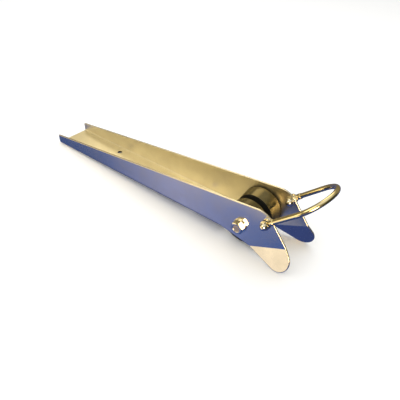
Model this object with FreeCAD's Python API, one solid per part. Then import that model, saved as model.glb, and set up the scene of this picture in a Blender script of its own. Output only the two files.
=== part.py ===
"""Bow anchor roller: a long folded channel, a spool roller on a through bolt, and a swinging wire bail.

The origin is the centre of the four deck bolts, on the underside of the channel floor.
+X points to the bow, +Z up.  Port is +Y and starboard is -Y.
"""
import FreeCAD, Part
import math
import os

# ---- Driving dimensions, in millimetres and degrees ----
SHEET = 3.0                 # stainless sheet of the channel
WIDTH = 70.0                # over the outside of the two cheeks
BEND_INNER = 2.0            # inside radius of the two long folds
TAIL_X = -240.0             # inboard end of the channel
TAIL_HEIGHT = 19.3          # flange height at the tail
TAIL_CORNER = 3.0
TOP_SLOPE = 0.101           # rise of the flange top per millimetre of length
FLOOR_END_X = 179.0         # the floor stops here, behind the roller
CHEEK_ROOT_Z = 3.4          # lower edge of the cheek where the floor stops
RELIEF_RADIUS = 1.6
EDGE_ROUND = 1.2            # polished rounding of the sheet's edges

FRONT_X = 277.5             # a point on the straight front edge of the cheek
FRONT_Z = 55.3
FRONT_ANGLE = -52.9         # direction of the front edge, going down and forward
FRONT_TOP_RADIUS = 31.0
LOWER_KINK_X = 234.0        # the cheek's lower edge turns down a little here
LOWER_KINK_Z = -7.2
LOWER_KINK_RADIUS = 40.0
LOBE_ANGLE = -16.2          # direction of the lobe's lower edge
LOBE_RADIUS = 22.0          # round tip of each lobe

CREASE_X = 304.5            # forward end of the crease where the lobe flares out
CREASE_Z = 21.5
CREASE_ANGLE = 25.4
FLARE_ANGLE = 14.5
CREASE_BEND = 2.0

DECK_HOLE_PITCH_X = 220.0
DECK_HOLE_PITCH_Y = 32.0
DECK_HOLE_RADIUS = 4.5

ROLLER_X = 221.0
ROLLER_Z = 22.0
ROLLER_RIM_RADIUS = 35.8
ROLLER_SHOULDER_RADIUS = 33.2
ROLLER_HALF_LENGTH = 30.4
RIM_ROUND = 2.0
GROOVE_HALF_WIDTH = 5.5
GROOVE_FLOOR_RADIUS = 20.5
GROOVE_DRAFT = 1.2          # each side of the groove leans in by this much
GROOVE_LIP_ROUND = 1.0
GROOVE_FLOOR_ROUND = 3.0
ROLLER_BORE_RADIUS = 10.0
BUSH_LENGTH = 19.0
BUSH_FLANGE_RADIUS = 14.0
BUSH_FLANGE = 1.5
BUSH_STAND = 0.3            # the flange stands this far out of the roller's end
BUSH_ROUND = 0.4
RECESS_GAP = 0.2            # radial gap round the bush flange in its recess
THRUST_WASHER_ROUND = 0.2
SLEEVE_RADIUS = 8.0
SLEEVE_BORE_RADIUS = 6.15
ROLLER_PLAY = 0.3           # end play between bush flange and thrust washer
BUSH_PLAY = 0.075           # radial running clearance on the sleeve

BOLT_RADIUS = 6.0           # M12
BOLT_LENGTH = 90.0
BOLT_CORE_RADIUS = 5.15     # root of the thread, where it stands out of the lock nut
BOLT_CORE_LENGTH = 3.3
BOLT_END_CHAMFER = 0.6
BOLT_HEAD_FLATS = 19.0      # across the flats, as on the lock nut
BOLT_HEAD_HEIGHT = 7.5
BOLT_HEAD_TURN = 14.0
BOLT_HOLE_RADIUS = 6.25
HEAD_DISH_RADIUS = 6.0      # hollow in the face of the head
HEAD_DISH_DEPTH = 0.5
HEAD_FACE_RADIUS = 8.6      # the corners are turned down outside this circle
HEAD_RIM_ROUND = 0.9
WASHER_RADIUS = 12.0
WASHER_THICKNESS = 2.5
WASHER_BORE_RADIUS = 6.5
WASHER_ROUND = 0.4
LOCK_NUT_HEX_HEIGHT = 8.5
LOCK_NUT_HEIGHT = 12.0
LOCK_NUT_COLLAR_RADIUS = 8.7
LOCK_NUT_COLLAR_ROUND = 0.8
INSERT_OUTER_RADIUS = 7.5
INSERT_START = 9.0
INSERT_END = 11.6
INSERT_LIP_RADIUS = 6.8

PIVOT_X = 268.9
PIVOT_Z = 54.2
PIVOT_HOLE_RADIUS = 4.6
SHOULDER_RADIUS = 4.5
SCREW_THREAD_RADIUS = 4.0   # M8
SCREW_THREAD_LENGTH = 7.5
SCREW_END_CHAMFER = 1.0
SCREW_HEAD_RADIUS = 7.0
SCREW_HEAD_HEIGHT = 3.2
SCREW_HEAD_TRIM = 0.15      # the domed head's thin edge is cut back by this much
SOCKET_FLATS = 5.0
SOCKET_DEPTH = 1.8
SPACER_RADIUS = 7.4
SPACER_THICKNESS = 0.8
PIVOT_PLAY = 0.3
EYE_THICKNESS = 4.8
EYE_RADIUS = 7.5
EYE_BORE_RADIUS = 5.5
EYE_ROUND = 0.8
EYE_BUSH_FLANGE = 0.8
EYE_BUSH_PLAY = 0.05
EYE_BUSH_ROUND = 0.3

BAIL_REST_ANGLE = 42.1      # elevation of the bail at rest
BAIL_LEG_Y = 40.2           # also the radius of the half circle between the legs
BAIL_ROD_RADIUS = 4.0
BAIL_STRAIGHT = 58.0        # straight leg, measured from the pivot
ROD_START = 9.5             # the rod's end, inside the neck collar
NECK_RADIUS = 4.7
NECK_START = 8.2
NECK_END = 15.2
NECK_CHAMFER = 0.6
WEB_HALF_WIDTH = 3.3

DOME_NUT_FLATS = 13.0
DOME_NUT_HEX_HEIGHT = 5.5
DOME_NUT_HEIGHT = 11.5
DOME_RADIUS = 6.25
DOME_NUT_BORE_DEPTH = 8.0
DOME_NUT_TURN = 30.0

HEX_CHAMFER_ANGLE = 30.0    # every hexagon's corners are turned off at this angle
HEX_CHAMFER_INSET = 0.25    # the chamfer starts this far inside the flats

# ---- Values worked out from the driving dimensions ----
HALF_WIDTH = WIDTH / 2.0
INNER_HALF = HALF_WIDTH - SHEET
BEND_OUTER = BEND_INNER + SHEET
EYE_INBOARD = HALF_WIDTH + SPACER_THICKNESS + PIVOT_PLAY
EYE_OUTBOARD = EYE_INBOARD + EYE_THICKNESS
PIVOT_SEAT = EYE_OUTBOARD + EYE_BUSH_FLANGE + PIVOT_PLAY
SHOULDER_LENGTH = PIVOT_SEAT - INNER_HALF
BUSH_OUTER_FACE = ROLLER_HALF_LENGTH + BUSH_STAND
THRUST_INNER_FACE = BUSH_OUTER_FACE + ROLLER_PLAY

STARBOARD = -1
PORT = 1
SIDES = {"starboard": STARBOARD, "port": PORT}
BIG = 400.0                 # wider and taller than the fitting, for cutting tools
OVERLAP = 0.2               # pieces of one solid run this far into each other before they are fused
NEAR = 1e-3                 # places closer than this are the same

Vector = FreeCAD.Vector
X_AXIS = Vector(1, 0, 0)
Y_AXIS = Vector(0, 1, 0)
Z_AXIS = Vector(0, 0, 1)


# ---- Shape helpers ----
def direction(angle):
    """Unit vector in the plane of a profile, at this many degrees from its first axis."""
    return math.cos(math.radians(angle)), math.sin(math.radians(angle))


def crossing(point_a, angle_a, point_b, angle_b):
    """Where two lines of a profile cross, each given by a point and a direction."""
    ax, ay = direction(angle_a)
    bx, by = direction(angle_b)
    step = ((point_b[0] - point_a[0]) * by - (point_b[1] - point_a[1]) * bx) / (ax * by - ay * bx)
    return point_a[0] + step * ax, point_a[1] + step * ay


def rounded_wire(corners, place):
    """Closed wire through (a, b, radius) corners; place turns (a, b) into a 3-D point."""
    spans = []
    for index, (a, b, radius) in enumerate(corners):
        here = Vector(a, b, 0)
        before = Vector(*corners[index - 1][:2], 0) - here
        after = Vector(*corners[(index + 1) % len(corners)][:2], 0) - here
        before.normalize()
        after.normalize()
        if radius == 0:
            spans.append((here, None, here))
            continue
        half = before.getAngle(after) / 2.0
        reach = radius / math.tan(half)
        bisector = before + after
        bisector.normalize()
        middle = here + bisector * (radius / math.sin(half) - radius)
        spans.append((here + before * reach, middle, here + after * reach))
    edges = []
    for index, (start, middle, end) in enumerate(spans):
        if middle is not None:
            arc = Part.Arc(place(start.x, start.y), place(middle.x, middle.y), place(end.x, end.y))
            edges.append(arc.toShape())
        follow = spans[(index + 1) % len(spans)][0]
        if end.distanceToPoint(follow) > 1e-6:
            edges.append(Part.LineSegment(place(end.x, end.y), place(follow.x, follow.y)).toShape())
    return Part.Wire(edges)


def prism(corners, place, travel):
    """Solid made by pushing a rounded outline along a vector."""
    return Part.Face(rounded_wire(corners, place)).extrude(travel)


def turned(corners, x=0.0, z=0.0):
    """Solid of revolution about a Y axis through (x, z); corners are (radius from axis, y, rounding)."""
    face = Part.Face(rounded_wire(corners, lambda r, y: Vector(x + r, y, z)))
    return face.revolve(Vector(x, 0, z), Y_AXIS, 360.0)


def ring(inner, outer, y_from, y_to, x, z, rounding=0.0):
    """Washer or tube about a Y axis through (x, z), with its outer corners rounded."""
    low, high = min(y_from, y_to), max(y_from, y_to)
    return turned([(inner, low, 0), (outer, low, rounding), (outer, high, rounding), (inner, high, 0)], x, z)


def rod_along_y(radius, y_from, y_to, x, z):
    """Plain cylinder about a Y axis through (x, z)."""
    low, high = min(y_from, y_to), max(y_from, y_to)
    return Part.makeCylinder(radius, high - low, Vector(x, low, z), Y_AXIS)


def hex_blank(flats, height, chamfered_ends, turn=0.0):
    """Hexagon bar from z = 0 up, with its corners chamfered at the named ends."""
    corner_radius = flats / math.sqrt(3.0)
    corners = []
    for step in range(6):
        a, b = direction(60.0 * step + turn)
        corners.append((corner_radius * a, corner_radius * b, 0))
    bar = prism(corners, lambda a, b: Vector(a, b, 0), Z_AXIS * height)
    edge = flats / 2.0 - HEX_CHAMFER_INSET
    wide = corner_radius + HEX_CHAMFER_INSET
    rise = (wide - edge) * math.tan(math.radians(HEX_CHAMFER_ANGLE))
    profile = [Vector(0, 0, 0)]
    if "bottom" in chamfered_ends:
        profile += [Vector(edge, 0, 0), Vector(wide, 0, rise)]
    else:
        profile.append(Vector(wide, 0, 0))
    if "top" in chamfered_ends:
        profile += [Vector(wide, 0, height - rise), Vector(edge, 0, height)]
    else:
        profile.append(Vector(wide, 0, height))
    profile += [Vector(0, 0, height), profile[0]]
    envelope = Part.Face(Part.makePolygon(profile)).revolve(Vector(0, 0, 0), Z_AXIS, 360.0)
    return bar.common(envelope)


def circles(shape):
    """The circular edges of a shape."""
    return [edge for edge in shape.Edges if isinstance(edge.Curve, Part.Circle)]


def stand_on(shape, x, y, z, towards):
    """Turn a shape built along +Z so that it points along Y, and set its foot at (x, y, z)."""
    turned_shape = shape.copy()
    turned_shape.rotate(Vector(0, 0, 0), X_AXIS, -90.0 * towards)
    turned_shape.translate(Vector(x, y, z))
    return turned_shape


# ---- Channel ----
def side_outline():
    """Side view of the channel, flanges, cheeks and lobes, as (x, z, radius) corners."""
    top_angle = math.degrees(math.atan(TOP_SLOPE))
    top_tail = (TAIL_X, TAIL_HEIGHT)
    front = (FRONT_X, FRONT_Z)
    kink = (LOWER_KINK_X, LOWER_KINK_Z)
    front_top = crossing(top_tail, top_angle, front, FRONT_ANGLE)
    lobe_tip = crossing(front, FRONT_ANGLE, kink, LOBE_ANGLE)
    return [
        (TAIL_X, 0, 0),
        (FLOOR_END_X, 0, 0),
        (FLOOR_END_X, CHEEK_ROOT_Z, RELIEF_RADIUS),
        (*kink, LOWER_KINK_RADIUS),
        (*lobe_tip, LOBE_RADIUS),
        (*front_top, FRONT_TOP_RADIUS),
        (*top_tail, TAIL_CORNER),
    ]


def folded_trough():
    """Floor with its two long folds, taller than the flanges, which the side outline trims."""
    tall = BIG / 2.0
    section = [
        (-HALF_WIDTH, tall, 0),
        (-HALF_WIDTH, 0, BEND_OUTER),
        (HALF_WIDTH, 0, BEND_OUTER),
        (HALF_WIDTH, tall, 0),
        (INNER_HALF, tall, 0),
        (INNER_HALF, SHEET, BEND_INNER),
        (-INNER_HALF, SHEET, BEND_INNER),
        (-INNER_HALF, tall, 0),
    ]
    return prism(section, lambda y, z: Vector(TAIL_X, y, z), X_AXIS * (FLOOR_END_X - TAIL_X))


def cheek_blank(side):
    """Sheet for one cheek, flat above the crease and flared outward below it."""
    along = Vector(direction(CREASE_ANGLE)[0], 0, direction(CREASE_ANGLE)[1])
    down = Vector(along.z, 0, -along.x)
    lean, out = direction(FLARE_ANGLE)
    reach = WIDTH
    half = math.tan(math.radians(FLARE_ANGLE / 2.0)) * SHEET
    section = [
        (-2.0 * reach, HALF_WIDTH, 0),
        (0, HALF_WIDTH, CREASE_BEND),
        (reach * lean, HALF_WIDTH + reach * out, 0),
        (reach * lean + SHEET * out, HALF_WIDTH + reach * out - SHEET * lean, 0),
        (half, INNER_HALF, CREASE_BEND + SHEET),
        (-2.0 * reach, INNER_HALF, 0),
    ]
    foot = Vector(CREASE_X, 0, CREASE_Z) - along * (BIG / 2.0)

    def place(depth, out_y):
        return foot + down * depth + Y_AXIS * (side * out_y)

    blank = prism(section, place, along * BIG)
    ahead = Part.makeBox(BIG, BIG, BIG, Vector(FLOOR_END_X, -BIG / 2.0, -BIG / 2.0))
    return blank.common(ahead)


def deck_holes():
    """Four drills for the deck bolts."""
    drills = []
    for end in (-1, 1):
        for side in (-1, 1):
            foot = Vector(end * DECK_HOLE_PITCH_X / 2.0, side * DECK_HOLE_PITCH_Y / 2.0, -SHEET)
            drills.append(Part.makeCylinder(DECK_HOLE_RADIUS, 3.0 * SHEET, foot, Z_AXIS))
    return drills


def on_outline(edge):
    """True for an edge of the top or front outline, on either face of a flange or cheek."""
    middle = edge.valueAt((edge.FirstParameter + edge.LastParameter) / 2.0)
    box = edge.BoundBox
    flat = box.YLength < NEAR
    on_face = abs(abs(middle.y) - HALF_WIDTH) < NEAR or abs(abs(middle.y) - INNER_HALF) < NEAR
    top = crossing((TAIL_X, TAIL_HEIGHT), math.degrees(math.atan(TOP_SLOPE)), (middle.x, 0), 90.0)[1]
    along_top = abs(middle.z - top) < NEAR and box.XLength > WIDTH
    front = crossing((FRONT_X, FRONT_Z), FRONT_ANGLE, (0, middle.z), 0.0)[0]
    along_front = abs(middle.x - front) < NEAR and box.ZLength > SHEET
    shoulder = isinstance(edge.Curve, Part.Circle) and abs(edge.Curve.Radius - FRONT_TOP_RADIUS) < NEAR
    return flat and on_face and (along_top or along_front or shoulder)


def channel_body():
    """The folded sheet: floor, flanges, cheeks and flared lobes, with every hole."""
    sheet = folded_trough().fuse([cheek_blank(STARBOARD), cheek_blank(PORT)])
    outline = prism(side_outline(), lambda x, z: Vector(x, -BIG / 2.0, z), Y_AXIS * BIG)
    body = sheet.common(outline).removeSplitter()
    drills = deck_holes()
    drills.append(rod_along_y(BOLT_HOLE_RADIUS, -WIDTH, WIDTH, ROLLER_X, ROLLER_Z))
    drills.append(rod_along_y(PIVOT_HOLE_RADIUS, -WIDTH, WIDTH, PIVOT_X, PIVOT_Z))
    body = body.cut(drills)
    # The rounding spreads from these edges to every edge that runs on smoothly from them, lobes included.
    rounded = [edge for edge in body.Edges if on_outline(edge)]
    return body.makeFillet(EDGE_ROUND, rounded)


# ---- Roller and its axle ----
def roller():
    """Spool: two slightly tapered flanges, a narrow chain groove and recessed ends."""
    end = ROLLER_HALF_LENGTH
    recess = BUSH_FLANGE - BUSH_STAND
    recess_radius = BUSH_FLANGE_RADIUS + RECESS_GAP
    profile = [
        (ROLLER_BORE_RADIUS, -end + recess, 0),
        (recess_radius, -end + recess, 0),
        (recess_radius, -end, 0),
        (ROLLER_RIM_RADIUS, -end, RIM_ROUND),
        (ROLLER_SHOULDER_RADIUS, -GROOVE_HALF_WIDTH, GROOVE_LIP_ROUND),
        (GROOVE_FLOOR_RADIUS, -GROOVE_HALF_WIDTH + GROOVE_DRAFT, GROOVE_FLOOR_ROUND),
        (GROOVE_FLOOR_RADIUS, GROOVE_HALF_WIDTH - GROOVE_DRAFT, GROOVE_FLOOR_ROUND),
        (ROLLER_SHOULDER_RADIUS, GROOVE_HALF_WIDTH, GROOVE_LIP_ROUND),
        (ROLLER_RIM_RADIUS, end, RIM_ROUND),
        (recess_radius, end, 0),
        (recess_radius, end - recess, 0),
        (ROLLER_BORE_RADIUS, end - recess, 0),
    ]
    return turned(profile, ROLLER_X, ROLLER_Z)


def roller_bush(side):
    """Flanged bush pressed into one end of the roller."""
    bore = SLEEVE_RADIUS + BUSH_PLAY
    face = BUSH_OUTER_FACE * side
    shoulder = (BUSH_OUTER_FACE - BUSH_FLANGE) * side
    inner_end = (BUSH_OUTER_FACE - BUSH_LENGTH) * side
    profile = [
        (bore, inner_end, 0),
        (ROLLER_BORE_RADIUS, inner_end, 0),
        (ROLLER_BORE_RADIUS, shoulder, 0),
        (BUSH_FLANGE_RADIUS, shoulder, 0),
        (BUSH_FLANGE_RADIUS, face, BUSH_ROUND),
        (bore, face, 0),
    ]
    return turned(profile, ROLLER_X, ROLLER_Z)


def axle_sleeve():
    """Tube that keeps the cheeks apart and carries the bushes."""
    return ring(SLEEVE_BORE_RADIUS, SLEEVE_RADIUS, -INNER_HALF, INNER_HALF, ROLLER_X, ROLLER_Z)


def thrust_washer(side):
    """Thin washer on the sleeve, against the inside of one cheek."""
    return ring(SLEEVE_RADIUS, BUSH_FLANGE_RADIUS, THRUST_INNER_FACE * side, INNER_HALF * side,
                ROLLER_X, ROLLER_Z, THRUST_WASHER_ROUND)


def bolt_head():
    """Hexagon head on z = 0, with a dished face, a rounded rim and corners turned down outside it."""
    bar = hex_blank(BOLT_HEAD_FLATS, BOLT_HEAD_HEIGHT, (), BOLT_HEAD_TURN)
    wide = BOLT_HEAD_FLATS / math.sqrt(3.0) + HEX_CHAMFER_INSET
    shoulder = BOLT_HEAD_HEIGHT - (wide - HEAD_FACE_RADIUS) * math.tan(math.radians(HEX_CHAMFER_ANGLE))
    dish_floor = BOLT_HEAD_HEIGHT - HEAD_DISH_DEPTH
    profile = [
        (0, 0, 0),
        (wide, 0, 0),
        (wide, shoulder, 0),
        (HEAD_FACE_RADIUS, BOLT_HEAD_HEIGHT, HEAD_RIM_ROUND),
        (HEAD_DISH_RADIUS + HEAD_DISH_DEPTH, BOLT_HEAD_HEIGHT, HEAD_RIM_ROUND),
        (HEAD_DISH_RADIUS, dish_floor, HEAD_DISH_DEPTH),
        (0, dish_floor, 0),
    ]
    outline = Part.Face(rounded_wire(profile, lambda r, z: Vector(r, 0, z)))
    return bar.common(outline.revolve(Vector(0, 0, 0), Z_AXIS, 360.0))


def roller_bolt():
    """Hex bolt from starboard to port; its thread is left to its core past the lock nut."""
    seat = -(HALF_WIDTH + WASHER_THICKNESS)
    head = stand_on(bolt_head(), ROLLER_X, seat, ROLLER_Z, STARBOARD)
    end = seat + BOLT_LENGTH
    profile = [
        (0, seat - OVERLAP, 0),
        (BOLT_RADIUS, seat - OVERLAP, 0),
        (BOLT_RADIUS, end - BOLT_CORE_LENGTH, 0),
        (BOLT_CORE_RADIUS, end - BOLT_CORE_LENGTH, 0),
        (BOLT_CORE_RADIUS, end - BOLT_END_CHAMFER, 0),
        (BOLT_CORE_RADIUS - BOLT_END_CHAMFER, end, 0),
        (0, end, 0),
    ]
    return head.fuse(turned(profile, ROLLER_X, ROLLER_Z)).removeSplitter()


def bolt_washer(side):
    """Flat washer against the outside of one cheek."""
    return ring(WASHER_BORE_RADIUS, WASHER_RADIUS, HALF_WIDTH * side, (HALF_WIDTH + WASHER_THICKNESS) * side,
                ROLLER_X, ROLLER_Z, WASHER_ROUND)


def roller_lock_nut():
    """Hex nut with a crimped collar that holds the locking ring."""
    hexagon = hex_blank(BOLT_HEAD_FLATS, LOCK_NUT_HEX_HEIGHT, ("top", "bottom"))
    collar = Part.makeCylinder(LOCK_NUT_COLLAR_RADIUS, LOCK_NUT_HEIGHT)
    top = [edge for edge in circles(collar) if edge.CenterOfMass.z > LOCK_NUT_HEX_HEIGHT]
    nut = hexagon.fuse(collar.makeFillet(LOCK_NUT_COLLAR_ROUND, top))
    bores = [
        Part.makeCylinder(BOLT_RADIUS, LOCK_NUT_HEIGHT),
        Part.makeCylinder(INSERT_OUTER_RADIUS, INSERT_END - INSERT_START, Z_AXIS * INSERT_START),
        Part.makeCylinder(INSERT_LIP_RADIUS, LOCK_NUT_HEIGHT - INSERT_END, Z_AXIS * INSERT_END),
    ]
    nut = nut.cut(bores).removeSplitter()
    return stand_on(nut, ROLLER_X, HALF_WIDTH + WASHER_THICKNESS, ROLLER_Z, PORT)


def lock_nut_insert():
    """Locking ring inside the nut's collar."""
    seat = HALF_WIDTH + WASHER_THICKNESS
    return ring(BOLT_RADIUS, INSERT_OUTER_RADIUS, seat + INSERT_START, seat + INSERT_END, ROLLER_X, ROLLER_Z)


# ---- Bail and its pivots ----
def lay_on_bail(shape):
    """Move a shape from the bail's flat frame (legs along +X from the pivot) to its rest place."""
    placed = shape.copy()
    placed.rotate(Vector(0, 0, 0), Y_AXIS, -BAIL_REST_ANGLE)
    placed.translate(Vector(PIVOT_X, 0, PIVOT_Z))
    return placed


def bail_path():
    """Centreline of the bail: a straight leg, a half circle and the other leg."""
    starboard_bend = Vector(BAIL_STRAIGHT, -BAIL_LEG_Y, 0)
    port_bend = Vector(BAIL_STRAIGHT, BAIL_LEG_Y, 0)
    edges = [
        Part.LineSegment(Vector(ROD_START, -BAIL_LEG_Y, 0), starboard_bend),
        Part.Arc(starboard_bend, Vector(BAIL_STRAIGHT + BAIL_LEG_Y, 0, 0), port_bend),
        Part.LineSegment(port_bend, Vector(ROD_START, BAIL_LEG_Y, 0)),
    ]
    return Part.Wire([edge.toShape() for edge in edges])


def bail_rod():
    """Round rod swept along the bail's centreline."""
    path = bail_path()
    section = Part.Wire(Part.makeCircle(BAIL_ROD_RADIUS, Vector(ROD_START, -BAIL_LEG_Y, 0), X_AXIS))
    rod = path.makePipeShell([section], True, False)
    expected = path.Length * math.pi * BAIL_ROD_RADIUS ** 2
    print("bail rod length %.1f mm, volume over expected %.4f" % (path.Length, rod.Volume / expected))
    return lay_on_bail(rod)


def bail_eye(side):
    """Eye end of one leg: a bored ring, a web and a neck collar that holds the rod."""
    loop = ring(0, EYE_RADIUS, EYE_INBOARD * side, EYE_OUTBOARD * side, 0, 0, EYE_ROUND)
    low = min(EYE_INBOARD * side, EYE_OUTBOARD * side)
    web_length = NECK_START + NECK_CHAMFER + OVERLAP
    web = Part.makeBox(web_length, EYE_THICKNESS, 2.0 * WEB_HALF_WIDTH, Vector(0, low, -WEB_HALF_WIDTH))
    collar_foot = Vector(NECK_START, BAIL_LEG_Y * side, 0)
    collar = Part.makeCylinder(NECK_RADIUS, NECK_END - NECK_START, collar_foot, X_AXIS)
    collar = collar.makeChamfer(NECK_CHAMFER, circles(collar))
    eye = loop.fuse([web, collar]).removeSplitter()
    eye = eye.cut(rod_along_y(EYE_BORE_RADIUS, -WIDTH, WIDTH, 0, 0))
    socket = Part.makeCylinder(BAIL_ROD_RADIUS, NECK_END, Vector(ROD_START, BAIL_LEG_Y * side, 0), X_AXIS)
    return lay_on_bail(eye.cut(socket))


def eye_bush(side):
    """Flanged bush in the eye, with its flange outboard."""
    bore = SHOULDER_RADIUS + EYE_BUSH_PLAY
    face = (EYE_OUTBOARD + EYE_BUSH_FLANGE) * side
    profile = [
        (bore, EYE_INBOARD * side, 0),
        (EYE_BORE_RADIUS, EYE_INBOARD * side, 0),
        (EYE_BORE_RADIUS, EYE_OUTBOARD * side, 0),
        (EYE_RADIUS, EYE_OUTBOARD * side, 0),
        (EYE_RADIUS, face, EYE_BUSH_ROUND),
        (bore, face, 0),
    ]
    return turned(profile, PIVOT_X, PIVOT_Z)


def pivot_spacer(side):
    """Thin washer between the cheek and the eye."""
    return ring(SHOULDER_RADIUS, SPACER_RADIUS, HALF_WIDTH * side, (HALF_WIDTH + SPACER_THICKNESS) * side,
                PIVOT_X, PIVOT_Z)


def pivot_ends(side):
    """Where a pivot screw's shoulder starts and stops; both screws go in from port to starboard."""
    if side == PORT:
        return PIVOT_SEAT, INNER_HALF
    return -INNER_HALF, -PIVOT_SEAT


def pivot_screw(side):
    """Shoulder screw with a low domed head and a hexagon socket; its head is the port end."""
    head_seat, nut_seat = pivot_ends(side)
    cap_radius = (SCREW_HEAD_RADIUS ** 2 + SCREW_HEAD_HEIGHT ** 2) / (2.0 * SCREW_HEAD_HEIGHT)
    ball = Part.makeSphere(cap_radius, Vector(0, 0, SCREW_HEAD_HEIGHT - cap_radius))
    disc = Part.makeCylinder(SCREW_HEAD_RADIUS - SCREW_HEAD_TRIM, SCREW_HEAD_HEIGHT)
    head = ball.common(disc)
    socket = hex_blank(SOCKET_FLATS, 2.0 * SOCKET_DEPTH, ())
    socket.translate(Vector(0, 0, SCREW_HEAD_HEIGHT - SOCKET_DEPTH))
    head = stand_on(head.cut(socket), PIVOT_X, head_seat, PIVOT_Z, PORT)
    shoulder = rod_along_y(SHOULDER_RADIUS, nut_seat, head_seat + OVERLAP, PIVOT_X, PIVOT_Z)
    thread_end = nut_seat - SCREW_THREAD_LENGTH
    profile = [
        (0, thread_end, 0),
        (SCREW_THREAD_RADIUS - SCREW_END_CHAMFER, thread_end, 0),
        (SCREW_THREAD_RADIUS, thread_end + SCREW_END_CHAMFER, 0),
        (SCREW_THREAD_RADIUS, nut_seat + OVERLAP, 0),
        (0, nut_seat + OVERLAP, 0),
    ]
    return head.fuse([shoulder, turned(profile, PIVOT_X, PIVOT_Z)]).removeSplitter()


def dome_nut(side):
    """Domed cap nut on the starboard end of one pivot screw."""
    hexagon = hex_blank(DOME_NUT_FLATS, DOME_NUT_HEX_HEIGHT, ("top", "bottom"), DOME_NUT_TURN)
    neck_top = DOME_NUT_HEIGHT - DOME_RADIUS
    neck = Part.makeCylinder(DOME_RADIUS, neck_top)
    ball = Part.makeSphere(DOME_RADIUS, Vector(0, 0, neck_top), Z_AXIS, 0, 90)
    nut = hexagon.fuse([neck, ball]).removeSplitter()
    nut = nut.cut(Part.makeCylinder(SCREW_THREAD_RADIUS, DOME_NUT_BORE_DEPTH))
    return stand_on(nut, PIVOT_X, pivot_ends(side)[1], PIVOT_Z, STARBOARD)


# ---- All pieces ----
def build_pieces():
    """Every node's name and shape."""
    pieces = {
        "channel_body": channel_body(),
        "roller": roller(),
        "axle_sleeve": axle_sleeve(),
        "roller_bolt": roller_bolt(),
        "roller_head_washer": bolt_washer(STARBOARD),
        "roller_nut_washer": bolt_washer(PORT),
        "roller_lock_nut": roller_lock_nut(),
        "lock_nut_insert": lock_nut_insert(),
        "bail_rod": bail_rod(),
    }
    paired = {
        "roller_bush": roller_bush,
        "thrust_washer": thrust_washer,
        "bail_eye": bail_eye,
        "eye_bush": eye_bush,
        "pivot_spacer": pivot_spacer,
        "pivot_screw": pivot_screw,
        "dome_nut": dome_nut,
    }
    for name, make in paired.items():
        for side_name, side in SIDES.items():
            pieces[name + "_" + side_name] = make(side)
    return pieces


os.makedirs("parts", exist_ok=True)
for node, shape in build_pieces().items():
    shape.exportStep("parts/" + node + ".step")
    box = shape.BoundBox
    print("%-24s solids %d valid %s volume %9.1f  x %7.1f %7.1f  y %6.1f %6.1f  z %6.1f %6.1f" % (
        node, len(shape.Solids), shape.isValid(), shape.Volume,
        box.XMin, box.XMax, box.YMin, box.YMax, box.ZMin, box.ZMax))
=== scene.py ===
"""Looks of the bow anchor roller: materials, small detail pieces, floor, light and camera."""
import bpy
import bmesh
import math
from mathutils import Matrix, Vector


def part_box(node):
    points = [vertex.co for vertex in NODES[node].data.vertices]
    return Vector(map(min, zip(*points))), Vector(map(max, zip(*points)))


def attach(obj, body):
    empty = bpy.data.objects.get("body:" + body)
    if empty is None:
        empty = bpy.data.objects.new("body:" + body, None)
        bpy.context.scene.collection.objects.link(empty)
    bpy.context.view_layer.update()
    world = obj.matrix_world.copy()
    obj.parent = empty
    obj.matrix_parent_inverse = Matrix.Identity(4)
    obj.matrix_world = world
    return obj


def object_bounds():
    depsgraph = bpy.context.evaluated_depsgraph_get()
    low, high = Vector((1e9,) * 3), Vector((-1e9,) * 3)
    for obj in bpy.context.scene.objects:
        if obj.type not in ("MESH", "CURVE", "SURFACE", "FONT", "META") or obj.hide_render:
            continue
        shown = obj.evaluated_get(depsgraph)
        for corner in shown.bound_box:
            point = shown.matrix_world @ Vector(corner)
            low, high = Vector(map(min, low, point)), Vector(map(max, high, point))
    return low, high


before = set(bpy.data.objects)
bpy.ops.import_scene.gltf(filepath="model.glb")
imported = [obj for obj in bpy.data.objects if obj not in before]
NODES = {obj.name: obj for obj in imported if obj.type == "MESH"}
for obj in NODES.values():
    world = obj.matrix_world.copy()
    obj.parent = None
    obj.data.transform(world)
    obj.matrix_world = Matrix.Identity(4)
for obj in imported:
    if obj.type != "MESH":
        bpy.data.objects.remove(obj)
CAD_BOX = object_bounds()


# ---- Node helpers ----
def placed(name, data):
    """A new object with this data, linked into the scene."""
    thing = bpy.data.objects.new(name, data)
    bpy.context.scene.collection.objects.link(thing)
    return thing


def new_material(name):
    """A material with an empty node tree and a Principled shader on its output."""
    material = bpy.data.materials.new(name)
    material.use_nodes = True
    nodes = material.node_tree.nodes
    nodes.clear()
    output = nodes.new("ShaderNodeOutputMaterial")
    shader = nodes.new("ShaderNodeBsdfPrincipled")
    material.node_tree.links.new(shader.outputs["BSDF"], output.inputs["Surface"])
    return material, shader


def link(material, source, target):
    material.node_tree.links.new(source, target)


def object_coords(material, scale):
    """The object's own coordinates in metres, times a scale on each axis."""
    nodes = material.node_tree.nodes
    coords = nodes.new("ShaderNodeTexCoord")
    mapping = nodes.new("ShaderNodeMapping")
    mapping.inputs["Scale"].default_value = scale
    link(material, coords.outputs["Object"], mapping.inputs["Vector"])
    return mapping.outputs["Vector"]


def noise(material, scale, detail=3.0, roughness=0.6):
    """Noise over the object's coordinates; a larger scale on an axis makes it finer along that axis."""
    texture = material.node_tree.nodes.new("ShaderNodeTexNoise")
    texture.inputs["Scale"].default_value = 1.0
    texture.inputs["Detail"].default_value = detail
    texture.inputs["Roughness"].default_value = roughness
    link(material, object_coords(material, scale), texture.inputs["Vector"])
    return texture.outputs["Fac"]


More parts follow.
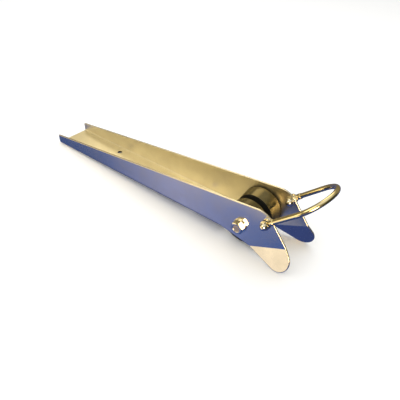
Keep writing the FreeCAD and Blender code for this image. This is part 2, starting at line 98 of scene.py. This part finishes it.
def remap(material, value, low, high, from_low=0.3, from_high=0.7):
    """A value between from_low and from_high, spread over low to high and clamped."""
    node = material.node_tree.nodes.new("ShaderNodeMapRange")
    node.inputs["From Min"].default_value = from_low
    node.inputs["From Max"].default_value = from_high
    node.inputs["To Min"].default_value = low
    node.inputs["To Max"].default_value = high
    link(material, value, node.inputs["Value"])
    return node.outputs["Result"]


def blend_colours(material, factor, first, second):
    """One colour where the factor is 0, the other where it is 1."""
    node = material.node_tree.nodes.new("ShaderNodeMix")
    node.data_type = "RGBA"
    node.inputs["A"].default_value = (*first, 1.0)
    node.inputs["B"].default_value = (*second, 1.0)
    link(material, factor, node.inputs["Factor"])
    return node.outputs["Result"]


def bump(material, height, strength, distance, below=None):
    """A bump from a height, on top of another bump if there is one."""
    node = material.node_tree.nodes.new("ShaderNodeBump")
    node.inputs["Strength"].default_value = strength
    node.inputs["Distance"].default_value = distance
    link(material, height, node.inputs["Height"])
    if below is not None:
        link(material, below, node.inputs["Normal"])
    return node.outputs["Normal"]


# ---- Materials ----
def steel(name, colour, haze, roughness, brushes):
    """Polished stainless: faint haze, and layers of fine lines or grain given as (scale, depth)."""
    material, shader = new_material(name)
    shader.inputs["Metallic"].default_value = 1.0
    smudge = noise(material, (34.0, 34.0, 34.0), 5.0)
    link(material, blend_colours(material, remap(material, smudge, 0.0, 1.0), colour, haze),
         shader.inputs["Base Color"])
    link(material, remap(material, smudge, *roughness), shader.inputs["Roughness"])
    normal = None
    for scale, depth in brushes:
        normal = bump(material, noise(material, scale, 2.0), 0.5, depth, normal)
    link(material, normal, shader.inputs["Normal"])
    return material


WORN_LIGHTER = 2.2          # worn patches are this many times lighter


def black_plastic(name, colour, roughness, depth):
    """Moulded black plastic with a faint grain."""
    material, shader = new_material(name)
    grain = noise(material, (1500.0, 1500.0, 1500.0), 3.0)
    wear = noise(material, (60.0, 60.0, 60.0), 4.0)
    worn = [WORN_LIGHTER * part for part in colour]
    link(material, blend_colours(material, remap(material, wear, 0.0, 1.0), colour, worn),
         shader.inputs["Base Color"])
    link(material, remap(material, wear, *roughness), shader.inputs["Roughness"])
    link(material, bump(material, grain, 0.3, depth), shader.inputs["Normal"])
    return material


SHEET_COLOUR = (0.80, 0.77, 0.71)
SHEET_HAZE = (0.72, 0.69, 0.63)
sheet_steel = steel("sheet_steel", SHEET_COLOUR, SHEET_HAZE, (0.14, 0.22),
                    [((1400.0, 25.0, 25.0), 0.00003), ((450.0, 450.0, 450.0), 0.00003)])
# Inward faces: their own rougher cross-brushed finish, with a warmer gold colour that is a painted reflection
# of warm light.
inner_steel_painted_gold = steel("inner_steel_painted_gold", (0.83, 0.79, 0.66), (0.75, 0.71, 0.59), (0.31, 0.38),
                    [((14.0, 900.0, 900.0), 0.00004)])
rod_steel = steel("rod_steel", (0.88, 0.78, 0.52), (0.80, 0.70, 0.45), (0.12, 0.18),
                  [((300.0, 300.0, 300.0), 0.00001)])
hardware_steel = steel("hardware_steel", (0.86, 0.82, 0.73), (0.70, 0.66, 0.57), (0.08, 0.14),
                       [((500.0, 500.0, 500.0), 0.00002)])
forged_face = steel("forged_face", (0.58, 0.51, 0.46), (0.46, 0.40, 0.37), (0.42, 0.55),
                    [((900.0, 900.0, 900.0), 0.00005)])
# Deck hole walls: near-black colour is painted shade inside the holes.
hole_wall_painted_shade = steel("hole_wall_painted_shade", (0.05, 0.045, 0.04), (0.03, 0.03, 0.03), (0.5, 0.6),
                  [((900.0, 900.0, 900.0), 0.00005)])
roller_black = black_plastic("roller_black", (0.018, 0.014, 0.004), (0.18, 0.26), 0.00002)
roller_shader = roller_black.node_tree.nodes["Principled BSDF"]
roller_shader.inputs["IOR"].default_value = 2.1
roller_shader.inputs["Specular Tint"].default_value = (1.0, 0.82, 0.42, 1.0)
# Roller groove, ends and flat sides: a darker, rougher copy of the roller's own plastic, painted shade.
roller_painted_shade = black_plastic("roller_painted_shade", (0.006, 0.006, 0.005), (0.45, 0.55), 0.00002)
bush_black = black_plastic("bush_black", (0.012, 0.012, 0.012), (0.35, 0.5), 0.00002)
nylon, nylon_shader = new_material("nylon")
nylon_grain = noise(nylon, (900.0, 900.0, 900.0))
link(nylon, blend_colours(nylon, nylon_grain, (0.74, 0.72, 0.66), (0.66, 0.64, 0.57)),
     nylon_shader.inputs["Base Color"])
nylon_shader.inputs["Roughness"].default_value = 0.45

LOOKS = {
    sheet_steel: ("channel_body",),
    rod_steel: ("bail_rod", "bail_eye_starboard", "bail_eye_port"),
    hardware_steel: ("axle_sleeve", "roller_bolt", "roller_head_washer", "roller_nut_washer",
                     "roller_lock_nut", "pivot_screw_starboard", "pivot_screw_port",
                     "dome_nut_starboard", "dome_nut_port"),
    roller_black: ("roller",),
    bush_black: ("eye_bush_starboard", "eye_bush_port"),
    nylon: ("roller_bush_starboard", "roller_bush_port", "thrust_washer_starboard", "thrust_washer_port",
            "pivot_spacer_starboard", "pivot_spacer_port", "lock_nut_insert"),
}
for material, names in LOOKS.items():
    for name in names:
        mesh = NODES[name].data
        mesh.materials.clear()
        mesh.materials.append(material)


def finish_or_painted_shade_faces(name, material, chosen):
    """Give one node's faces a second material, a real finish or painted shade, wherever chosen(centre,
    normal) is true.
    """
    mesh = NODES[name].data
    mesh.materials.append(material)
    for face in mesh.polygons:
        if chosen(face.center, face.normal):
            face.material_index = len(mesh.materials) - 1


SHEET_THICKNESS = 0.003
WALLS_FROM_Y = 0.025        # flanges and cheeks lie further out than this
LOBES_FROM_X = 0.2
STRAIGHT_WALL = 0.985       # a wall's normal has at least this much Y; a flared lobe's has less
DECK_HOLES = [(x, y) for x in (-0.110, 0.110) for y in (-0.016, 0.016)]
DECK_HOLE_RADIUS = 0.0045
BOLT_AXIS = (0.221, 0.022)
GROOVE_HALF_WIDTH = 0.0058
ROLLER_END_Y = 0.0292
ROLLER_SIDE_RADIUS = 0.034
HEAD_FACE_Y = -0.043
HEAD_DISH_RADIUS = 0.0061


def from_bolt_axis(centre):
    return math.hypot(centre.x - BOLT_AXIS[0], centre.z - BOLT_AXIS[1])


def faces_inward(centre, normal):
    """The trough's inside: floor top, folds and inner faces of flanges and cheeks, not the lobes; these faces
    get a painted gold reflection.
    """
    on_floor = normal.z > 0.7 and centre.z < 2.0 * SHEET_THICKNESS
    on_wall = normal.y * centre.y < 0.0 and abs(normal.y) > 0.5 and abs(centre.y) > WALLS_FROM_Y
    flared = centre.x > LOBES_FROM_X and abs(normal.y) < STRAIGHT_WALL
    return on_floor or (on_wall and not flared)


# Walls of the deck holes, which get painted shade.
def in_deck_hole(centre, normal):
    near = min(math.hypot(centre.x - x, centre.y - y) for x, y in DECK_HOLES)
    return abs(normal.z) < 0.3 and near < 1.1 * DECK_HOLE_RADIUS


# Faces of the roller that get painted shade: the groove, both ends and the flat sides.
def in_groove_or_end(centre, normal):
    on_side = abs(normal.y) > 0.9 and from_bolt_axis(centre) < ROLLER_SIDE_RADIUS
    return abs(centre.y) < GROOVE_HALF_WIDTH or abs(centre.y) > ROLLER_END_Y or on_side


def on_head_dish(centre, normal):
    return normal.y < -0.95 and centre.y < HEAD_FACE_Y and from_bolt_axis(centre) < HEAD_DISH_RADIUS


# Inward faces: painted gold reflection over their rougher finish.
finish_or_painted_shade_faces("channel_body", inner_steel_painted_gold, faces_inward)
# Deck hole walls: painted shade.
finish_or_painted_shade_faces("channel_body", hole_wall_painted_shade, in_deck_hole)
finish_or_painted_shade_faces("roller_bolt", forged_face, on_head_dish)
# Roller groove, ends and sides: painted shade.
finish_or_painted_shade_faces("roller", roller_painted_shade, in_groove_or_end)


# ---- Small real pieces ----
def swept_piece(name, rows, closed, body, material):
    """Solid skin through rows of points; each row is one closed cross-section."""
    mesh = bpy.data.meshes.new(name)
    width = len(rows[0])
    points = [point for row in rows for point in row]
    faces = []
    count = len(rows) if closed else len(rows) - 1
    for index in range(count):
        start, follow = index * width, (index + 1) % len(rows) * width
        for k in range(width):
            faces.append((start + k, start + (k + 1) % width, follow + (k + 1) % width, follow + k))
    if not closed:
        faces.append(tuple(reversed(range(width))))
        faces.append(tuple(range(len(points) - width, len(points))))
    mesh.from_pydata(points, [], faces)
    skin = bmesh.new()
    skin.from_mesh(mesh)
    bmesh.ops.recalc_face_normals(skin, faces=skin.faces)
    skin.to_mesh(mesh)
    skin.free()
    mesh.shade_smooth()
    mesh.materials.append(material)
    piece = placed(name, mesh)
    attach(piece, body)


THREAD_PITCH = 0.00175
THREAD_CORE = 0.0051
THREAD_CREST = 0.0059
THREAD_FROM = 0.0500
THREAD_TO = 0.0517
THREAD_STEPS = 36           # steps in one turn
THREAD_FADE = 6.0           # steps over which the thread rises at each end
THREAD_LEAST = 0.0001       # height of the ridge where it starts


def bolt_thread():
    """The last turn of thread on the roller bolt, past its lock nut."""
    steps = round((THREAD_TO - THREAD_FROM) / THREAD_PITCH * THREAD_STEPS)
    foot = THREAD_CORE + THREAD_LEAST
    rows = []
    for step in range(steps + 1):
        angle = 2.0 * math.pi * step / THREAD_STEPS
        y = THREAD_FROM + THREAD_PITCH * step / THREAD_STEPS
        fade = min(1.0, step / THREAD_FADE, (steps - step) / THREAD_FADE)
        crest = foot + (THREAD_CREST - foot) * fade
        row = []
        for radius, shift in ((THREAD_CORE, -0.38), (crest, -0.06), (crest, 0.06), (THREAD_CORE, 0.38)):
            row.append((BOLT_AXIS[0] + radius * math.cos(angle), y + shift * THREAD_PITCH,
                        BOLT_AXIS[1] + radius * math.sin(angle)))
        rows.append(row)
    swept_piece("bolt_thread", rows, False, "channel", hardware_steel)


PIVOT = Vector((0.2689, 0.0, 0.0542))
BAIL_ANGLE = math.radians(42.1)
LEG_Y = 0.0402
COLLAR_END = 0.0152
BEAD_RADIUS = 0.0041
BEAD_THICKNESS = 0.00042
BEAD_RIPPLE = 0.00006
BEAD_RIPPLES = 12.0
BEAD_STEPS = 72
BEAD_SIDES = 8


def weld_bead(side_name, side):
    """Ring of weld where one leg of the bail leaves its eye's collar."""
    along = Vector((math.cos(BAIL_ANGLE), 0.0, math.sin(BAIL_ANGLE)))
    across = Vector((-math.sin(BAIL_ANGLE), 0.0, math.cos(BAIL_ANGLE)))
    centre = PIVOT + along * COLLAR_END + Vector((0.0, side * LEG_Y, 0.0))
    rows = []
    for step in range(BEAD_STEPS):
        angle = 2.0 * math.pi * step / BEAD_STEPS
        outward = math.cos(angle) * across + math.sin(angle) * Vector((0.0, 1.0, 0.0))
        thick = BEAD_THICKNESS + BEAD_RIPPLE * math.sin(BEAD_RIPPLES * angle)
        row = []
        for k in range(BEAD_SIDES):
            turn = 2.0 * math.pi * k / BEAD_SIDES
            radius = BEAD_RADIUS + thick * math.cos(turn)
            row.append(tuple(centre + outward * radius + along * (thick * math.sin(turn))))
        rows.append(row)
    swept_piece("weld_bead_" + side_name, rows, True, "bail", rod_steel)


RIM_RADIUS = 0.0358
SHOULDER_RADIUS = 0.0332
SHOULDER_Y = 0.0055
RIM_Y = 0.0304
SEAM_FROM_Y = 0.0075
SEAM_TO_Y = 0.0275
SEAM_STEPS = 8
# Section of the seam: distance out of the roller's surface, and half of its width there.
SEAM_SECTION = [(-0.0003, 0.00022), (0.00012, 0.00010), (0.00012, -0.00010), (-0.0003, -0.00022)]


def parting_line(name, front, side):
    """Fine moulding seam along one flange of the roller."""
    rows = []
    for step in range(SEAM_STEPS + 1):
        y = SEAM_FROM_Y + (SEAM_TO_Y - SEAM_FROM_Y) * step / SEAM_STEPS
        rise = (RIM_RADIUS - SHOULDER_RADIUS) * (y - SHOULDER_Y) / (RIM_Y - SHOULDER_Y)
        row = []
        for out, half in SEAM_SECTION:
            row.append((BOLT_AXIS[0] + front * (SHOULDER_RADIUS + rise + out), side * y, BOLT_AXIS[1] + half))
        rows.append(row)
    swept_piece(name, rows, False, "roller", roller_black)


bolt_thread()
for side_name, side in (("starboard", -1.0), ("port", 1.0)):
    weld_bead(side_name, side)
    parting_line("parting_front_" + side_name, 1.0, side)
    parting_line("parting_back_" + side_name, -1.0, side)

# ---- Stage ----
TAIL_FOOT = Vector((CAD_BOX[0][0], 0.0, 0.0))
LOBE_FOOT = Vector((0.2927, 0.0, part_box("channel_body")[0].z))    # lowest point of the lobes
FLOOR_SLOPE = math.atan2(LOBE_FOOT.z - TAIL_FOOT.z, LOBE_FOOT.x - TAIL_FOOT.x)
FLOOR_HALF_SIZE = 6.0


def only_in_reflections(thing):
    """A lighting card: seen in glossy reflections and nowhere else."""
    thing.visible_camera = False
    thing.visible_diffuse = False
    thing.visible_shadow = False
    thing.visible_transmission = False
    thing.visible_volume_scatter = False


def stage_floor():
    """A pale floor under the points that the fitting rests on: its tail edge and its lobe tips."""
    mesh = bpy.data.meshes.new("floor")
    signs = ((-1, -1), (1, -1), (1, 1), (-1, 1))
    corners = [(FLOOR_HALF_SIZE * x, FLOOR_HALF_SIZE * y, 0.0) for x, y in signs]
    mesh.from_pydata(corners, [], [(0, 1, 2, 3)])
    floor = placed("floor", mesh)
    floor.matrix_world = Matrix.Translation(TAIL_FOOT) @ Matrix.Rotation(-FLOOR_SLOPE, 4, "Y")
    material, shader = new_material("pale_floor")
    shader.inputs["Base Color"].default_value = (0.92, 0.92, 0.91, 1.0)
    shader.inputs["Roughness"].default_value = 0.8
    shader.inputs["Specular IOR Level"].default_value = 0.0
    mesh.materials.append(material)
    floor.visible_glossy = False


def ramp(material, value, stops):
    """Colour ramp from (position, colour) stops."""
    node = material.node_tree.nodes.new("ShaderNodeValToRGB")
    elements = node.color_ramp.elements
    while len(elements) > 1:
        elements.remove(elements[-1])
    elements[0].position = stops[0][0]
    elements[0].color = (*stops[0][1], 1.0)
    for position, colour in stops[1:]:
        elements.new(position).color = (*colour, 1.0)
    link(material, value, node.inputs["Fac"])
    return node.outputs["Color"]


def lay_over(material, factor, below, above):
    """Two linked colours, blended by a factor."""
    node = material.node_tree.nodes.new("ShaderNodeMix")
    node.data_type = "RGBA"
    link(material, factor, node.inputs["Factor"])
    link(material, below, node.inputs["A"])
    link(material, above, node.inputs["B"])
    return node.outputs["Result"]


def plain_colour(material, colour):
    node = material.node_tree.nodes.new("ShaderNodeRGB")
    node.outputs["Color"].default_value = (*colour, 1.0)
    return node.outputs["Color"]


def soft_step(material, value, start, stop):
    """Smooth 0 to 1 as the value goes from start to stop."""
    result = remap(material, value, 0.0, 1.0, start, stop)
    result.node.interpolation_type = "SMOOTHSTEP"
    return result


def glowing(name):
    """A material that only gives light; returns it with its emission node."""
    material = bpy.data.materials.new(name)
    material.use_nodes = True
    nodes = material.node_tree.nodes
    nodes.clear()
    output = nodes.new("ShaderNodeOutputMaterial")
    emission = nodes.new("ShaderNodeEmission")
    link(material, emission.outputs["Emission"], output.inputs["Surface"])
    return material, emission


def split_coords(material, scale):
    """The object's coordinates, whole and split into X, Y and Z."""
    vector = object_coords(material, scale)
    split = material.node_tree.nodes.new("ShaderNodeSeparateXYZ")
    link(material, vector, split.inputs["Vector"])
    return vector, split.outputs


def dot_with(material, vector, constant):
    node = material.node_tree.nodes.new("ShaderNodeVectorMath")
    node.operation = "DOT_PRODUCT"
    node.inputs[1].default_value = constant
    link(material, vector, node.inputs[0])
    return node.outputs["Value"]


def towards(azimuth, elevation):
    """Unit vector at this azimuth from +X and elevation, in degrees."""
    azimuth, elevation = math.radians(azimuth), math.radians(elevation)
    return Vector((math.cos(azimuth) * math.cos(elevation), math.sin(azimuth) * math.cos(elevation),
                   math.sin(elevation)))


DOME_RADIUS = 20.0
DOME_STOPS = [
    (0.0, (0.04, 0.07, 0.25)),
    (0.3, (0.08, 0.10, 0.25)),
    (0.5, (0.22, 0.18, 0.10)),
    (0.8, (0.30, 0.26, 0.16)),
    (1.0, (1.00, 0.95, 0.80)),
]
# Soft studio panels on the dome: azimuth, elevation, full inside, gone outside (degrees), colour.
DOME_PANELS = [
    (130.0, 40.0, 10.0, 20.0, (2.4, 2.0, 1.2)),
    (240.0, 45.0, 15.0, 25.0, (2.4, 2.0, 1.2)),
    (230.0, 0.0, 10.0, 20.0, (2.0, 1.6, 0.8)),
    (20.0, 0.0, 25.0, 45.0, (0.05, 0.05, 0.03)),
    (-50.0, 10.0, 10.0, 20.0, (12.0, 9.0, 5.0)),
]


def reflection_dome():
    """A large sphere that only reflections see: blue below, olive at the horizon, softboxes above."""
    mesh = bpy.data.meshes.new("reflection_dome")
    ball = bmesh.new()
    bmesh.ops.create_uvsphere(ball, u_segments=64, v_segments=32, radius=DOME_RADIUS)
    ball.to_mesh(mesh)
    ball.free()
    dome = placed("reflection_dome", mesh)
    material, emission = glowing("reflection_dome")
    size = 1.0 / DOME_RADIUS
    vector, parts = split_coords(material, (size, size, size))
    colour = ramp(material, remap(material, parts["Z"], 0.0, 1.0, -1.0, 1.0), DOME_STOPS)
    for azimuth, elevation, inner, outer, tint in DOME_PANELS:
        near_centre = dot_with(material, vector, towards(azimuth, elevation))
        inside = soft_step(material, near_centre, math.cos(math.radians(outer)),
                           math.cos(math.radians(inner)))
        colour = lay_over(material, inside, colour, plain_colour(material, tint))
    link(material, colour, emission.inputs["Color"])
    mesh.materials.append(material)
    only_in_reflections(dome)


CARD_Y = -0.45
CARD_X = (-1.2, 0.3)
CARD_Z = (-0.7, -0.05)
CARD_CREAM_Z = (-0.30, -0.24)
CARD_BLUE = [
    (0.3, (0.05, 0.10, 0.30)),
    (0.6, (0.35, 0.38, 0.65)),
    (0.9, (0.05, 0.12, 0.40)),
]
CARD_CREAM = (1.3, 1.1, 0.8)


def near_card():
    """A plain upright card on the starboard side, for reflections: blue with one soft light, cream on top."""
    mesh = bpy.data.meshes.new("near_card")
    corners = [(CARD_X[0], CARD_Y, CARD_Z[0]), (CARD_X[1], CARD_Y, CARD_Z[0]),
               (CARD_X[1], CARD_Y, CARD_Z[1]), (CARD_X[0], CARD_Y, CARD_Z[1])]
    mesh.from_pydata(corners, [], [(0, 1, 2, 3)])
    card = placed("near_card", mesh)
    material, emission = glowing("near_card")
    parts = split_coords(material, (1.0, 1.0, 1.0))[1]
    blue = ramp(material, remap(material, parts["X"], 0.0, 1.0, *CARD_X), CARD_BLUE)
    on_top = soft_step(material, parts["Z"], *CARD_CREAM_Z)
    colour = lay_over(material, on_top, blue, plain_colour(material, CARD_CREAM))
    link(material, colour, emission.inputs["Color"])
    mesh.materials.append(material)
    only_in_reflections(card)


def area_light(name, place, target, size, power, colour):
    data = bpy.data.lights.new(name, "AREA")
    data.shape = "RECTANGLE"
    data.size, data.size_y = size
    data.energy = power
    data.color = colour
    lamp = placed(name, data)
    lamp.location = place
    lamp.rotation_euler = (Vector(target) - Vector(place)).to_track_quat("-Z", "Y").to_euler()
    lamp.visible_glossy = False


stage_floor()
reflection_dome()
near_card()
area_light("key", (0.1, 0.5, 1.6), (0.0, 0.0, 0.0), (1.8, 1.6), 12.0, (1.0, 0.99, 0.96))
area_light("fill", (-0.6, -0.9, 1.2), (0.0, 0.0, 0.0), (1.6, 1.2), 6.0, (1.0, 1.0, 1.0))
world = bpy.data.worlds.new("world")
world.use_nodes = True
world.node_tree.nodes["Background"].inputs["Color"].default_value = (1.0, 1.0, 1.0, 1.0)
world.node_tree.nodes["Background"].inputs["Strength"].default_value = 0.85
bpy.context.scene.world = world

# ---- Camera ----
CAMERA_PLACE = Vector((0.4866, -0.4635, 0.4555))
CAMERA_AZIMUTH = math.radians(38.826)
CAMERA_ELEVATION = math.radians(37.515)
CAMERA_ROLL = math.radians(0.446)
camera_data = bpy.data.cameras.new("camera")
camera_data.sensor_width = 36.0
camera_data.lens = 38.34
camera_data.clip_start = 0.01
camera = placed("camera", camera_data)
back = Vector((math.sin(CAMERA_AZIMUTH) * math.cos(CAMERA_ELEVATION),
               -math.cos(CAMERA_AZIMUTH) * math.cos(CAMERA_ELEVATION), math.sin(CAMERA_ELEVATION)))
right = (-back).cross(Vector((0, 0, 1))).normalized()
up = back.cross(right)
turned_right = math.cos(CAMERA_ROLL) * right + math.sin(CAMERA_ROLL) * up
turned_up = -math.sin(CAMERA_ROLL) * right + math.cos(CAMERA_ROLL) * up
turn = Matrix((turned_right, turned_up, back)).transposed().to_4x4()
camera.matrix_world = Matrix.Translation(CAMERA_PLACE) @ turn
bpy.context.scene.camera = camera
bpy.context.scene.view_settings.view_transform = "Standard"
